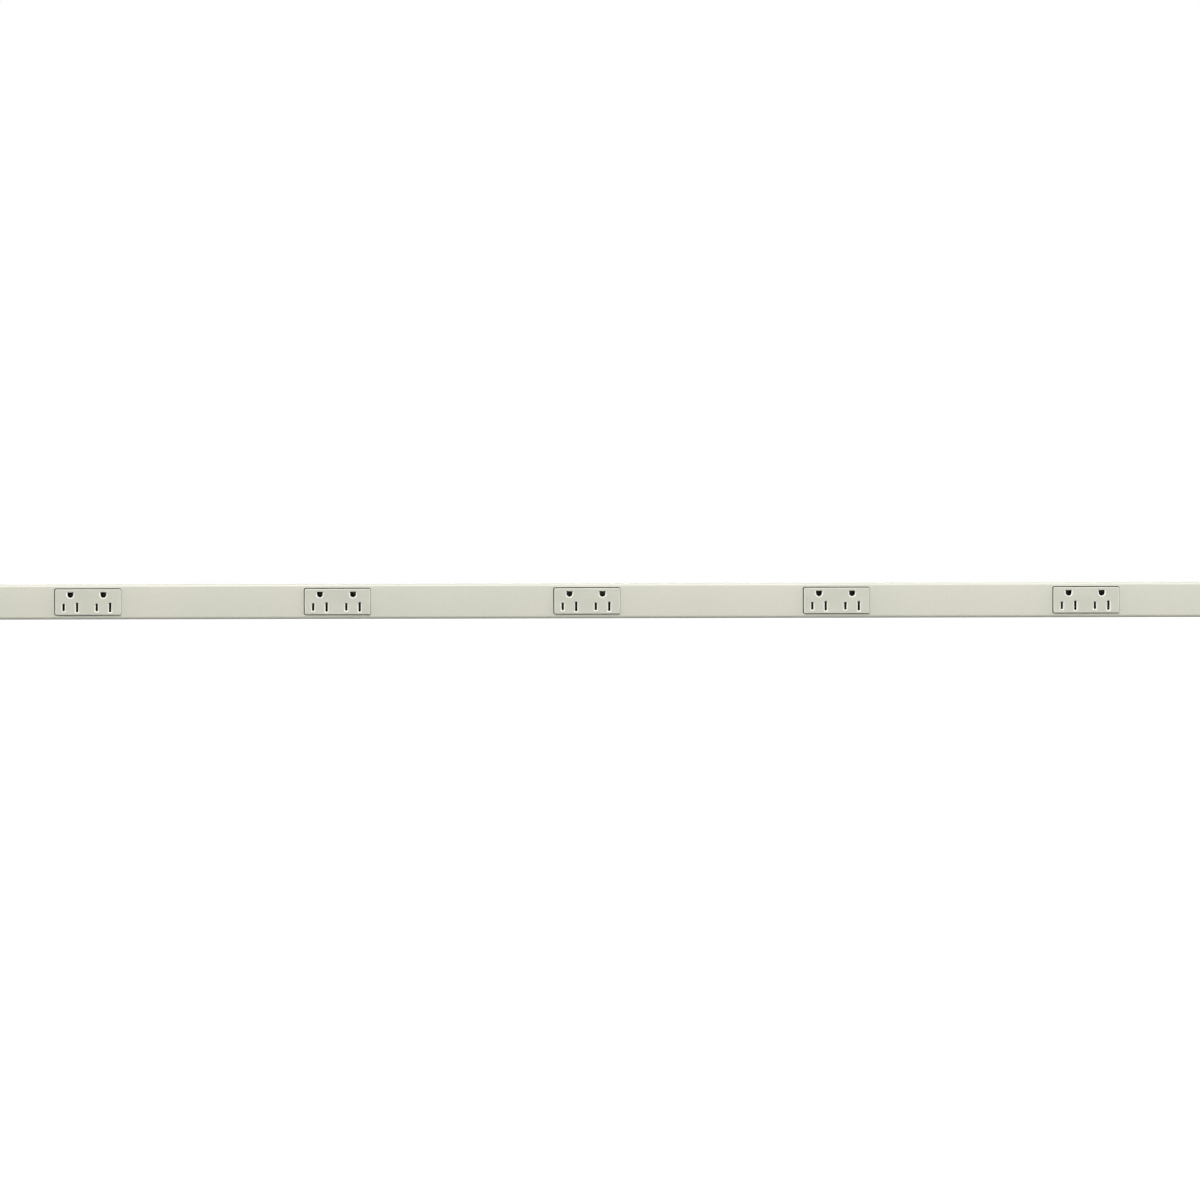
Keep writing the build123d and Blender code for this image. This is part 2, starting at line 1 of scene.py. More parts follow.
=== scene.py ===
# %% [markdown]
# # A pre-wired metal raceway
#
# A long steel channel is screwed to a wall, and a painted steel cover clips over it. Five duplex
# receptacles show through openings in the cover, already wired to each other inside.
#
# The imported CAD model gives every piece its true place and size. This lesson keeps the hidden pieces
# as they are and gives them a finish, and models again the four kinds of piece that people see:
# the cover, the base, the end caps and the moulded receptacle faces. In each of these the rounded
# edges carry the look, and they need a finer mesh than the CAD model has.

# %% Load the frame
import math

import bmesh
import bpy
from mathutils import Matrix, Vector


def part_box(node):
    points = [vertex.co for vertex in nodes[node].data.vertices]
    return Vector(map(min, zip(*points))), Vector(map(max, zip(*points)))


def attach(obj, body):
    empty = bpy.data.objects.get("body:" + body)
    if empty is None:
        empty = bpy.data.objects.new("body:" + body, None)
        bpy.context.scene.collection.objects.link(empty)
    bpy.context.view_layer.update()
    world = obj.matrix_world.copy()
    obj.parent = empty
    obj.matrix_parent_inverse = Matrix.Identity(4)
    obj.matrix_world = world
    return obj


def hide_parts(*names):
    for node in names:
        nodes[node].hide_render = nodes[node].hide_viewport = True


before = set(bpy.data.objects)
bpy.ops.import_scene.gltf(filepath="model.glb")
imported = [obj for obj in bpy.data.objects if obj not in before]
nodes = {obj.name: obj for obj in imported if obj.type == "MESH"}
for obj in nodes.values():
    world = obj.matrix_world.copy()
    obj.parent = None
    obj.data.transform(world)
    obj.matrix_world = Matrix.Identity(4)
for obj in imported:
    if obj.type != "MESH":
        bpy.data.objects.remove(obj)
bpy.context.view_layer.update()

print("pieces in the frame:", len(nodes))

# %% [markdown]
# ## The camera
#
# The photograph looks straight at the raceway from far away, so it shows almost no perspective. A long
# lens at a distance does the same. Two slots of one outlet are 12.7 mm apart on every outlet of this
# kind, and 13.42 pixels apart in the photograph, which gives the scale, and the scale gives the
# distance. The raceway leans by a tenth of a degree in the photograph, so the camera rolls by as much.

# %% Set up the camera
MM = 0.001
photo_pixels = 1200
slot_spacing_mm = 12.7
slot_spacing_pixels = 13.42
mm_per_pixel = slot_spacing_mm / slot_spacing_pixels
lens_mm = 200.0
film_mm = 36.0
photo_roll = math.radians(0.13)
photo_shift = Vector((12.2, 0, 0.76)) * MM  # from the middle receptacle to the photograph's middle
receptacle_count = 5

numbers = range(1, receptacle_count + 1)
face_boxes = [tuple(map(Vector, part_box(f"receptacle_face_{number}"))) for number in numbers]
centres = [(low.x + high.x) / 2 for low, high in face_boxes]
face_front = min(low.y for low, high in face_boxes)
photo_middle = Vector((centres[receptacle_count // 2], face_front, 0)) + photo_shift

view_width = photo_pixels * mm_per_pixel * MM
camera_distance = view_width * lens_mm / film_mm
camera_data = bpy.data.cameras.new("camera")
camera_data.lens = lens_mm
camera_data.sensor_width = film_mm
camera_data.clip_end = 100
camera = bpy.data.objects.new("camera", camera_data)
bpy.context.scene.collection.objects.link(camera)
camera.location = photo_middle + Vector((0, -camera_distance, 0))
look_along_y = Matrix.Rotation(math.radians(90), 4, "X")
camera.rotation_euler = (look_along_y @ Matrix.Rotation(-photo_roll, 4, "Z")).to_euler()
bpy.context.scene.camera = camera
print("camera distance in m:", round(camera_distance, 3))

# %% [markdown]
# ## Modelling by hand, in code
#
# Every new piece starts as a primitive, is shaped in edit mode, and is finished with modifiers. In a
# window one would click on faces and edges. In code they are picked by where they are, so the first
# helpers select nothing, then only what passes a test.

# %% Helpers for picking and shaping
def start_piece(name):
    """Names the primitive that was just added and moves its place and size into its mesh."""
    piece = bpy.context.object
    piece.name = piece.data.name = name
    bpy.ops.object.transform_apply(location=True, rotation=True, scale=True)
    return piece


def select_only(*pieces):
    """Deselects everything in object mode, then selects these pieces, the last one active."""
    if bpy.context.mode != "OBJECT":
        bpy.ops.object.mode_set(mode="OBJECT")
    bpy.ops.object.select_all(action="DESELECT")
    for piece in pieces:
        piece.select_set(True)
        bpy.context.view_layer.objects.active = piece


def middle(item):
    """The middle of a vertex, edge or face."""
    if hasattr(item, "co"):
        return item.co
    return sum((vertex.co for vertex in item.verts), Vector()) / len(item.verts)


def pick(kind, test):
    """In edit mode, selects only the vertices, edges or faces that pass the test."""
    bpy.ops.mesh.select_mode(type=kind)
    bpy.ops.mesh.select_all(action="DESELECT")
    mesh = bpy.context.object.data
    edit = bmesh.from_edit_mesh(mesh)
    items = {"VERT": edit.verts, "EDGE": edit.edges, "FACE": edit.faces}[kind]
    for item in items:
        item.select_set(bool(test(item)))
    edit.select_flush_mode()
    bmesh.update_edit_mesh(mesh)


def near(a, b):
    """True if two lengths are the same to a hundredth of a millimetre."""
    return abs(a - b) < 0.01 * MM


def block(name, low, high):
    """A box between two corners."""
    low, high = Vector(low), Vector(high)
    bpy.ops.mesh.primitive_cube_add(size=1, location=(low + high) / 2)
    bpy.context.object.scale = high - low
    return start_piece(name)


def rod(name, centre, radius, length, axis, vertices=48):
    """A cylinder along the y or z axis."""
    turn = (math.radians(90), 0, 0) if axis == "y" else (0, 0, 0)
    bpy.ops.mesh.primitive_cylinder_add(
        vertices=vertices, radius=radius, depth=length, location=centre, rotation=turn
    )
    return start_piece(name)


def extrude(move):
    """Extrudes what is selected and moves the new part."""
    bpy.ops.mesh.extrude_region_move(TRANSFORM_OT_translate={"value": move})


# %% [markdown]
# Modifiers do the work that hands are slow at: giving a sheet its thickness, cutting one shape out of
# another, and breaking sharp edges. Each is applied at once, so that a piece is always plain mesh.

# %% Helpers for modifiers
def modify(piece, kind, **settings):
    """Adds one modifier, sets it and applies it."""
    select_only(piece)
    bpy.ops.object.modifier_add(type=kind)
    modifier = piece.modifiers[-1]
    for key, value in settings.items():
        setattr(modifier, key, value)
    bpy.ops.object.modifier_apply(modifier=modifier.name)


def combine(piece, tools, operation):
    """Adds or cuts away the tools, then deletes them."""
    select_only(*tools)
    if len(tools) > 1:
        bpy.ops.object.join()
    tool = bpy.context.object
    modify(piece, "BOOLEAN", object=tool, operation=operation, solver="EXACT")
    bpy.data.objects.remove(tool)


def shifted(piece, name, move):
    """A copy with its own mesh, moved by this much."""
    select_only(piece)
    bpy.ops.object.duplicate(linked=False)
    bpy.ops.transform.translate(value=move)
    return start_piece(name)


def break_edges(piece, width):
    """Rounds the sharp edges a little, and keeps flat faces flat where they meet a round one."""
    select_only(piece)
    bpy.ops.object.shade_smooth_by_angle(angle=math.radians(30))
    modify(
        piece,
        "BEVEL",
        width=width,
        segments=2,
        limit_method="ANGLE",
        angle_limit=math.radians(35),
        use_clamp_overlap=True,
    )
    select_only(piece)
    bpy.ops.object.shade_smooth_by_angle(angle=math.radians(40))
    modify(piece, "WEIGHTED_NORMAL", keep_sharp=True, weight=80)


def report(piece):
    """Prints a piece's size and how many faces it has."""
    size = [round(side / MM, 2) for side in piece.dimensions]
    print(piece.name, "size in mm:", size, "faces:", len(piece.data.polygons))


# %% [markdown]
# ## The cover
#
# The real cover is a strip of steel that rollers fold into a U. It could be cut from a solid block, but
# then the bends would have to be carved. Folding it the way the rollers do is easier: the front starts
# as a plane in the middle of the sheet, its two long edges are extruded back as side walls, and the
# corners are bevelled into round bends. A Solidify modifier then gives the sheet its thickness.
#
# Each side wall has a shallow rib near the wall side, which springs into a groove in the base.

# %% Fold the cover
cover_low, cover_high = map(Vector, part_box("raceway_cover"))
raceway_length = cover_high.x - cover_low.x
sheet = 1.0 * MM
cover_bend = 2.3 * MM
rib_height = 4.2 * MM
rib_half_width = 1.6 * MM
rib_depth = 0.7 * MM
rib_foot_bevel = 0.21 * MM
rib_crown_bevel = 0.44 * MM
cut_edge = 0.12 * MM  # the width that breaks the edges of cut sheet
moulded_edge = 0.15 * MM  # and those of a drawn or moulded piece


def folded_sheet(name, y, side_z, steps, facing):
    """A plane at y whose long edges are extruded in steps of (way along y, way inwards)."""
    select_only()
    bpy.ops.mesh.primitive_plane_add(size=1, location=(0, y, 0), rotation=(facing * math.pi / 2, 0, 0))
    bpy.context.object.scale = (raceway_length, 2 * side_z, 1)
    piece = start_piece(name)
    bpy.ops.object.mode_set(mode="EDIT")
    for side in (-1, 1):
        pick("EDGE", lambda edge: near(middle(edge).z, side * side_z) and near(middle(edge).y, y))
        for step_y, inward in steps:
            extrude((0, step_y, -side * inward))
    return piece


def round_long_edges(places, radius, segments):
    """Bevels the long edges at these (y, z) places and their mirror images."""
    pick(
        "EDGE",
        lambda edge: near(middle(edge).x, 0)
        and any(near(middle(edge).y, y) and near(abs(middle(edge).z), z) for y, z in places),
    )
    bpy.ops.mesh.bevel(offset=radius, offset_type="OFFSET", segments=segments, affect="EDGES")


def round_rib(side_z):
    """Rounds the three folds of the rib on both sides."""
    feet = [(-rib_height - rib_half_width, side_z), (-rib_height + rib_half_width, side_z)]
    round_long_edges(feet, rib_foot_bevel, 4)
    round_long_edges([(-rib_height, side_z - rib_depth)], rib_crown_bevel, 6)


cover_side = cover_high.z
cover_front = cover_low.y
fold_y = cover_front + sheet / 2
fold_z = cover_side - sheet / 2
cover = folded_sheet(
    "cover_sheet",
    fold_y,
    fold_z,
    [
        (-rib_height - rib_half_width - fold_y, 0),
        (rib_half_width, rib_depth),
        (rib_half_width, -rib_depth),
        (cover_high.y + rib_height - rib_half_width, 0),
    ],
    facing=1,
)
round_long_edges([(fold_y, fold_z)], cover_bend, 12)
round_rib(fold_z)
bpy.ops.object.mode_set(mode="OBJECT")
modify(cover, "SOLIDIFY", thickness=sheet, offset=0, use_even_offset=True)
report(cover)

# %% [markdown]
# ## Openings and stops in the cover
#
# A press punches a hole for each receptacle. It also pushes four small stops into the sides by each
# hole, which trap the receptacle from behind. A stop is a dent outside and a bump inside, so its
# tool is used twice: added on the inside, and cut away on the outside.
#
# The opening is a little larger than the face plate and sits a little up and to the left of it, as in
# the photograph, where the gap shows dark along the top and the left.

# %% Punch the cover
face_length = 62.0 * MM
face_width = 24.2 * MM
face_drop = Vector((0, 0, -0.2 * MM))
opening_gap = 0.7 * MM
opening_corner = 1.7 * MM
opening_shift = Vector((-0.3 * MM, 0, 0.2 * MM)) + face_drop
stop_size = Vector((5.0, 2.0, 0.8)) * MM
stop_y = -15.0 * MM
stop_offset = 22.0 * MM
snap_radius = 1.6 * MM
snap_inset = 6.0 * MM  # from the ends of the cover
snap_x = cover_high.x - snap_inset
snap_y = cover_front / 2


def punch(name, size, corner, y_low, y_high):
    """A tool that cuts a rectangle with rounded corners through a sheet, centred on the origin."""
    half_x, half_z = size[0] / 2, size[1] / 2
    piece = block(name, (-half_x, y_low, -half_z), (half_x, y_high, half_z))
    bpy.ops.object.mode_set(mode="EDIT")
    pick("EDGE", lambda edge: near(middle(edge).y, (y_low + y_high) / 2))
    bpy.ops.mesh.bevel(offset=corner, segments=6, affect="EDGES")
    bpy.ops.object.mode_set(mode="OBJECT")
    return piece


def copies(piece, places):
    """Copies of a tool at these places; the first one is deleted."""
    made = [shifted(piece, piece.name, place) for place in places]
    bpy.data.objects.remove(piece)
    return made


def stop_tools(z_inner, z_outer):
    """One small block for each stop, between two distances from the middle."""
    half_x, half_y = stop_size.x / 2, stop_size.y / 2
    tools = []
    for up in (-1, 1):
        low, high = sorted((up * z_inner, up * z_outer))
        tool = block("stop", (-half_x, stop_y - half_y, low), (half_x, stop_y + half_y, high))
        places = [Vector((x + side * stop_offset, 0, 0)) for x in centres for side in (-1, 1)]
        tools += copies(tool, places)
    return tools


inside_z = cover_side - sheet
combine(cover, stop_tools(inside_z - stop_size.z, inside_z + sheet / 10), "UNION")
combine(cover, stop_tools(cover_side - stop_size.z, cover_side + sheet), "DIFFERENCE")

opening_size = (face_length + 2 * opening_gap, face_width + 2 * opening_gap)
tool = punch("opening", opening_size, opening_corner, cover_front - sheet, cover_front + 2 * sheet)
tools = copies(tool, [Vector((x, 0, 0)) + opening_shift for x in centres])
for side in (-1, 1):
    tools.append(rod("snap_hole", (side * snap_x, snap_y, 0), snap_radius, 4 * cover_side, "z"))
combine(cover, tools, "DIFFERENCE")
break_edges(cover, cut_edge)
report(cover)

# %% [markdown]
# ## The base
#
# The base is folded in the same way, but upside down: its flat back lies on the wall, and its sides
# stand into the cover. They have the groove that the cover's rib springs into, and a lip turned
# inwards, which the wire clips hook under.
#
# Its back has holes for the wall screws, and knockouts for a cable. A knockout is a disc that is
# punched nearly free, so its slit is a ring with two tabs left. The ring's tool is an annulus with
# the tabs cut out of it.

# %% Fold and punch the base
base_high = Vector(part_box("raceway_base")[1])
base_side_height = 8.6 * MM
base_lip_rise = 1.1 * MM
base_lip_reach = 1.2 * MM
base_bend = 1.2 * MM
lip_bevel = 0.3 * MM
wall_hole_radius = 2.4 * MM
knockout_radius = 11.1 * MM
knockout_slit = 0.5 * MM
knockout_tab = 2.0 * MM
wall_hole_inset = 19.6 * MM  # from each end of the raceway
end_knockout_inset = 70.0 * MM
bay_knockout_shift = -45.0 * MM  # from the middle of a bay

base_fold_z = base_high.z - sheet / 2
base = folded_sheet(
    "base_sheet",
    -sheet / 2,
    base_fold_z,
    [
        (sheet / 2 - rib_height + rib_half_width, 0),
        (-rib_half_width, rib_depth),
        (-rib_half_width, -rib_depth),
        (rib_height + rib_half_width - base_side_height, 0),
        (-base_lip_rise, base_lip_reach),
    ],
    facing=-1,
)
round_long_edges([(-sheet / 2, base_fold_z)], base_bend, 8)
round_rib(base_fold_z)
round_long_edges([(-base_side_height, base_fold_z)], lip_bevel, 4)
bpy.ops.object.mode_set(mode="OBJECT")
modify(base, "SOLIDIFY", thickness=sheet, offset=0, use_even_offset=True)

bays = [(a + b) / 2 for a, b in zip(centres, centres[1:])]
end_x = cover_high.x
wall_hole_places = [*bays, wall_hole_inset - end_x, end_x - wall_hole_inset]
knockout_places = [x + bay_knockout_shift for x in bays]
knockout_places += [end_knockout_inset - end_x, end_x - end_knockout_inset]
tools = [rod("wall_hole", (x, 0, 0), wall_hole_radius, 4 * sheet, "y") for x in wall_hole_places]
ring = rod("knockout", (0, 0, 0), knockout_radius + knockout_slit / 2, 4 * sheet, "y", vertices=96)
disc = rod("disc", (0, 0, 0), knockout_radius - knockout_slit / 2, 6 * sheet, "y", vertices=96)
combine(ring, [disc], "DIFFERENCE")
tab = Vector((knockout_tab / 2, 6 * sheet, 2 * knockout_radius))
combine(ring, [block("tab", -tab, tab)], "DIFFERENCE")
tools += copies(ring, [Vector((x, 0, 0)) for x in knockout_places])
combine(base, tools, "DIFFERENCE")
report(base)

# %% [markdown]
# ## The ground pad
#
# At the feed end a round pad is pressed up from the base, so that the ground screw clears the wall.
# The pad is a cone added to the front and a smaller cone cut out of the back, which leaves the sheet
# about as thick as it was. The cones are cylinders whose front ends are scaled down.

# %% Press the ground pad
pad_inset = 40.0 * MM  # from the feed end
pad_x = pad_inset - end_x
pad_radius = 8.0 * MM
pad_rise = 3.0 * MM
pad_slope = math.tan(math.radians(35))
ground_hole_radius = 2.5 * MM


def cone(name, place, radius, rise, slope, back=0.0):
    """A cylinder that stands off the wall and tapers; it starts a little behind, by back."""
    piece = rod(name, (0, -rise / 2, 0), radius, rise, "y", vertices=64)
    bpy.ops.object.mode_set(mode="EDIT")
    pick("FACE", lambda face: face.normal.y < -0.9)
    scale = (radius - rise * slope) / radius
    bpy.ops.transform.resize(value=(scale, 1, scale), center_override=(0, -rise, 0))
    if back:
        pick("FACE", lambda face: face.normal.y > 0.9)
        extrude((0, back, 0))
    bpy.ops.object.mode_set(mode="OBJECT")
    bpy.ops.transform.translate(value=place)
    bpy.ops.object.transform_apply(location=True)
    return piece


pad_place = Vector((pad_x, 0, 0))
pad = cone("pad", pad_place, pad_radius, pad_rise + sheet, pad_slope)
combine(base, [pad], "UNION")
hollow = cone("hollow", pad_place, pad_radius - sheet, pad_rise, pad_slope, sheet)
combine(base, [hollow], "DIFFERENCE")
ground_hole = rod("ground_hole", pad_place, ground_hole_radius, 12 * sheet, "y")
combine(base, [ground_hole], "DIFFERENCE")
break_edges(base, cut_edge)
report(base)

# %% [markdown]
# ## The end caps
#
# Each cap is drawn from one piece of sheet: a shallow box, open at the wall side and at the inner end,
# with soft corners. A cube with those two faces deleted is the right start. Its long front edges
# and the rim of its end are bevelled, and then it gets its wall. Two dimples spring into the holes in
# the cover, and like the stops each is added inside and cut away outside.
#
# Both caps are alike, so the second is the first one turned round by half a turn.

# %% Draw the end caps
cap_low, cap_high = map(Vector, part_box("end_cap_right"))
cap_wall = 0.9 * MM
cap_corner = 3.85 * MM
cap_rim = 0.6 * MM
dimple_radius = 1.35 * MM
dimple_depth = 0.65 * MM
dimple_slope = math.tan(math.radians(25))

cap = block("end_cap_right_shell", cap_low, cap_high)
bpy.ops.object.mode_set(mode="EDIT")
pick("FACE", lambda face: face.normal.y > 0.9 or face.normal.x < -0.9)
bpy.ops.mesh.delete(type="FACE")
cap_middle_x = (cap_low.x + cap_high.x) / 2
pick("EDGE", lambda edge: near(middle(edge).y, cap_low.y) and near(middle(edge).x, cap_middle_x))
bpy.ops.mesh.bevel(offset=cap_corner, segments=12, affect="EDGES")
pick(
    "EDGE",
    lambda edge: all(near(vertex.co.x, cap_high.x) for vertex in edge.verts)
    and not all(near(vertex.co.y, cap_high.y) for vertex in edge.verts),
)
bpy.ops.mesh.bevel(offset=cap_rim, segments=5, affect="EDGES")
bpy.ops.object.mode_set(mode="OBJECT")
modify(cap, "SOLIDIFY", thickness=cap_wall, offset=-1, use_even_offset=True)


def dimple(up, z_start):
    """A short cone that points to the middle from z_start, above or below."""
    piece = cone("dimple", Vector(), dimple_radius, dimple_depth, dimple_slope, cap_wall / 4)
    turn = -up * math.pi / 2
    bpy.ops.object.mode_set(mode="EDIT")
    bpy.ops.mesh.select_all(action="SELECT")
    bpy.ops.transform.rotate(value=turn, orient_axis="X", center_override=(0, 0, 0))
    bpy.ops.transform.translate(value=(snap_x, snap_y, up * z_start))
    bpy.ops.object.mode_set(mode="OBJECT")
    return piece


combine(cap, [dimple(up, cap_high.z - cap_wall) for up in (-1, 1)], "UNION")
combine(cap, [dimple(up, cap_high.z) for up in (-1, 1)], "DIFFERENCE")
break_edges(cap, moulded_edge)
right_cap = cap
left_cap = shifted(right_cap, "end_cap_left_shell", Vector())
bpy.ops.object.mode_set(mode="EDIT")
bpy.ops.mesh.select_all(action="SELECT")
bpy.ops.transform.rotate(value=math.pi, orient_axis="Y", center_override=(0, 0, 0))
bpy.ops.object.mode_set(mode="OBJECT")
for piece in (right_cap, left_cap):
    report(piece)

# %% [markdown]
# ## The receptacle face
#
# The face is one moulding: a plate that stands out of the cover, on a wider flange that is trapped
# behind it. A relief groove runs round the plate, so that the rough edge of the punched opening
# has room; with the painted shade in the groove and on the cut edges of the opening, this is why the
# gap round the plate looks so dark.
#
# It starts as the flange, and the rest is inset and extrude, back and forth: the front is inset and
# pushed in as the groove, then inset again and pulled out as the plate. The back is inset and
# pushed in as a pocket, so that the walls stay even, as they do in a moulding. The two long front edges
# of the flange are cut off to clear the bends of the cover.

# %% Mould the face
plate_front = face_front
flange_front = cover_front + sheet
flange_thickness = 2.0 * MM
flange_back = flange_front + flange_thickness
flange_length = 66.0 * MM
flange_half_width = 15.3 * MM
flange_chamfer = 1.5 * MM
relief_width = 1.1 * MM
relief_depth = 1.2 * MM
face_corner = 1.0 * MM
face_edge = 0.6 * MM
pocket_wall = 1.65 * MM
plate_wall = 2.0 * MM


def middle_of_picked():
    """The middle of the picked vertices."""
    edit = bmesh.from_edit_mesh(bpy.context.object.data)
    places = [vertex.co for vertex in edit.verts if vertex.select]
    return sum(places, Vector()) / len(places)


def inset_to(size, old_size, depth):
    """Insets the picked rectangle to a new (length, width), then extrudes it by depth along y."""
    margin = (old_size[0] - size[0]) / 2
    bpy.ops.mesh.inset(thickness=margin)
    squeeze = size[1] / (old_size[1] - 2 * margin)
    centre = middle_of_picked()
    bpy.ops.transform.resize(value=(1, 1, squeeze), center_override=centre)
    bpy.ops.transform.translate(value=(0, 0, face_drop.z - centre.z))
    extrude((0, depth, 0))


def corner_edges(size, y_low, y_high):
    """Tests for the four edges between two depths at the corners of a (length, width)."""
    return lambda edge: (
        near(abs(middle(edge).x), size[0] / 2)
        and near(abs(middle(edge).z - face_drop.z), size[1] / 2)
        and near(middle(edge).y, (y_low + y_high) / 2)
    )


flange_corner = Vector((flange_length / 2, 0, flange_half_width))
face = block(
    "face_moulding",
    (-flange_corner.x, flange_front, -flange_corner.z),
    (flange_corner.x, flange_back, flange_corner.z),
)
plate_size = (face_length, face_width)
relief_size = (face_length + 2 * relief_width, face_width + 2 * relief_width)
pocket_size = (face_length - 2 * pocket_wall, face_width - 2 * pocket_wall)
flat_size = (flange_length, 2 * (flange_half_width - flange_chamfer))
relief_floor = flange_front + relief_depth
pocket_floor = plate_front + plate_wall
bpy.ops.object.mode_set(mode="EDIT")
pick("EDGE", lambda edge: near(middle(edge).y, flange_front) and near(middle(edge).x, 0))
bpy.ops.mesh.bevel(offset=flange_chamfer, segments=1, affect="EDGES")
pick("FACE", lambda face: face.normal.y < -0.99)
inset_to(relief_size, flat_size, relief_depth)
inset_to(plate_size, relief_size, plate_front - relief_floor)
pick("EDGE", corner_edges(relief_size, flange_front, relief_floor))
bpy.ops.mesh.bevel(offset=face_corner + relief_width, segments=6, affect="EDGES")
pick("EDGE", corner_edges(plate_size, plate_front, relief_floor))
bpy.ops.mesh.bevel(offset=face_corner, segments=6, affect="EDGES")
pick("EDGE", lambda edge: all(near(vertex.co.y, plate_front) for vertex in edge.verts))
bpy.ops.mesh.bevel(offset=face_edge, segments=5, affect="EDGES")
pick("FACE", lambda face: face.normal.y > 0.99 and near(middle(face).y, flange_back))
inset_to(pocket_size, (flange_length, 2 * flange_half_width), pocket_floor - flange_back)
pick("EDGE", corner_edges(pocket_size, pocket_floor, flange_back))
bpy.ops.mesh.bevel(offset=face_corner, segments=4, affect="EDGES")
bpy.ops.object.mode_set(mode="OBJECT")
report(face)

# %% [markdown]
# ## Slots and ground holes
#
# The openings for the plug's blades and ground pin are funnel shaped, so that a plug finds its way in.
# These bevels are what catches the light round each black slot in the photograph: a bright U below and
# on both sides, and none on top, where the opening is cut off square.
#
# The tool for a slot is a short block in the shape of the funnel's mouth. Its inner end is inset and
# pushed in at once, which makes a 45 degree funnel with an even width. The top edge of the inset is
# moved back up, which makes that side square, and the inset end is then extruded through.
#
# A ground hole is round below and flat on top. Its tool is half a cylinder, cut by the bisect
# operator, whose flat side is extruded up.

# %% Cut the slots
outlet_x = (-16.7 * MM, 14.6 * MM)
blade_x = 6.35 * MM
blade_z = -5.2 * MM
ground_z = 6.6 * MM
slot_width = 1.9 * MM
hot_length = 7.0 * MM
neutral_length = 8.8 * MM
slot_corner = 0.3 * MM
ground_radius = 2.65 * MM
ground_flat = 2.6 * MM
funnel = 1.1 * MM


def drill_on(top):
    """Narrows the inner end of a mouth by a funnel, then takes it through the plate."""
    pick("FACE", lambda face: face.normal.y > 0.99)
    bpy.ops.mesh.inset(thickness=funnel, depth=funnel)
    inner_y, inner_top = plate_front + funnel, top - funnel
    pick("VERT", lambda vertex: near(vertex.co.y, inner_y) and near(vertex.co.z, inner_top))
    bpy.ops.transform.translate(value=(0, 0, funnel))
    pick("FACE", lambda face: face.normal.y > 0.99)
    extrude((0, plate_wall, 0))
    bpy.ops.object.mode_set(mode="OBJECT")


def slot_tool(length):
    """The tool for a blade slot, at the origin."""
    half_width = slot_width / 2 + funnel
    bottom = -length / 2 - funnel
    mouth_y = plate_front - funnel / 2
    low = (-half_width, plate_front - funnel, bottom)
    piece = block("slot", low, (half_width, plate_front, length / 2))
    bpy.ops.object.mode_set(mode="EDIT")
    pick("EDGE", lambda edge: near(middle(edge).z, bottom) and near(middle(edge).y, mouth_y))
    bpy.ops.mesh.bevel(offset=slot_corner + funnel, segments=8, affect="EDGES")
    drill_on(length / 2)
    return piece


def ground_tool():
    """The tool for a ground hole, at the origin."""
    mouth = (0, plate_front - funnel / 2, 0)
    piece = rod("ground", mouth, ground_radius + funnel, funnel, "y", vertices=64)
    bpy.ops.object.mode_set(mode="EDIT")
    bpy.ops.mesh.select_all(action="SELECT")
    bpy.ops.mesh.bisect(plane_co=(0, 0, 0), plane_no=(0, 0, 1), clear_outer=True, use_fill=True)
    pick("FACE", lambda face: face.normal.z > 0.99)
    extrude((0, 0, ground_flat))
    drill_on(ground_flat)
    return piece


tools = copies(slot_tool(hot_length), [Vector((x - blade_x, 0, blade_z)) for x in outlet_x])
tools += copies(slot_tool(neutral_length), [Vector((x + blade_x, 0, blade_z)) for x in outlet_x])
tools += copies(ground_tool(), [Vector((x, 0, ground_z)) for x in outlet_x])
combine(face, tools, "DIFFERENCE")

# %% [markdown]
# Behind the plate stand two thin ribs, which hold the contacts down, and a boss for the housing screw.
# They are hidden once the raceway is shut, but a part that is reused should be complete.

# %% Add the ribs and the boss, and copy the face
post_x = sum(outlet_x) / 2
rib_offset = 5.5 * MM
rib_wall = 0.8 * MM
rib_half_length = 11.2 * MM
hold_down_y = -14.6 * MM
boss_radius = 2.8 * MM
boss_y = -10.0 * MM
screw_hole_radius = 1.4 * MM
screw_hole_depth = 4.1 * MM

overlap = plate_wall / 4
inner_parts = [
    block(
        "rib",
        (post_x + side * rib_offset - rib_wall / 2, pocket_floor - overlap, -rib_half_length),
        (post_x + side * rib_offset + rib_wall / 2, hold_down_y, rib_half_length),
    )
    for side in (-1, 1)
]
boss_length = boss_y - pocket_floor + overlap
boss_place = (post_x, boss_y - boss_length / 2, blade_z)
inner_parts.append(rod("boss", boss_place, boss_radius, boss_length, "y"))
combine(face, inner_parts, "UNION")
hole_place = (post_x, boss_y - screw_hole_depth / 2 + sheet / 2, blade_z)
screw_hole = rod("screw_hole", hole_place, screw_hole_radius, screw_hole_depth + sheet, "y")
combine(face, [screw_hole], "DIFFERENCE")
break_edges(face, moulded_edge)
faces = [shifted(face, f"face_moulding_{n}", Vector((x, 0, 0))) for n, x in enumerate(centres, 1)]
bpy.data.objects.remove(face)
report(faces[0])

# %% [markdown]
# ## Finishes
#
# A material is a graph of nodes, and the maths in it is easier to read as plain expressions. The class
# Value wraps a socket, and each operator on it adds the node that does that sum. Finish holds one
# material, and its node method adds any other node.

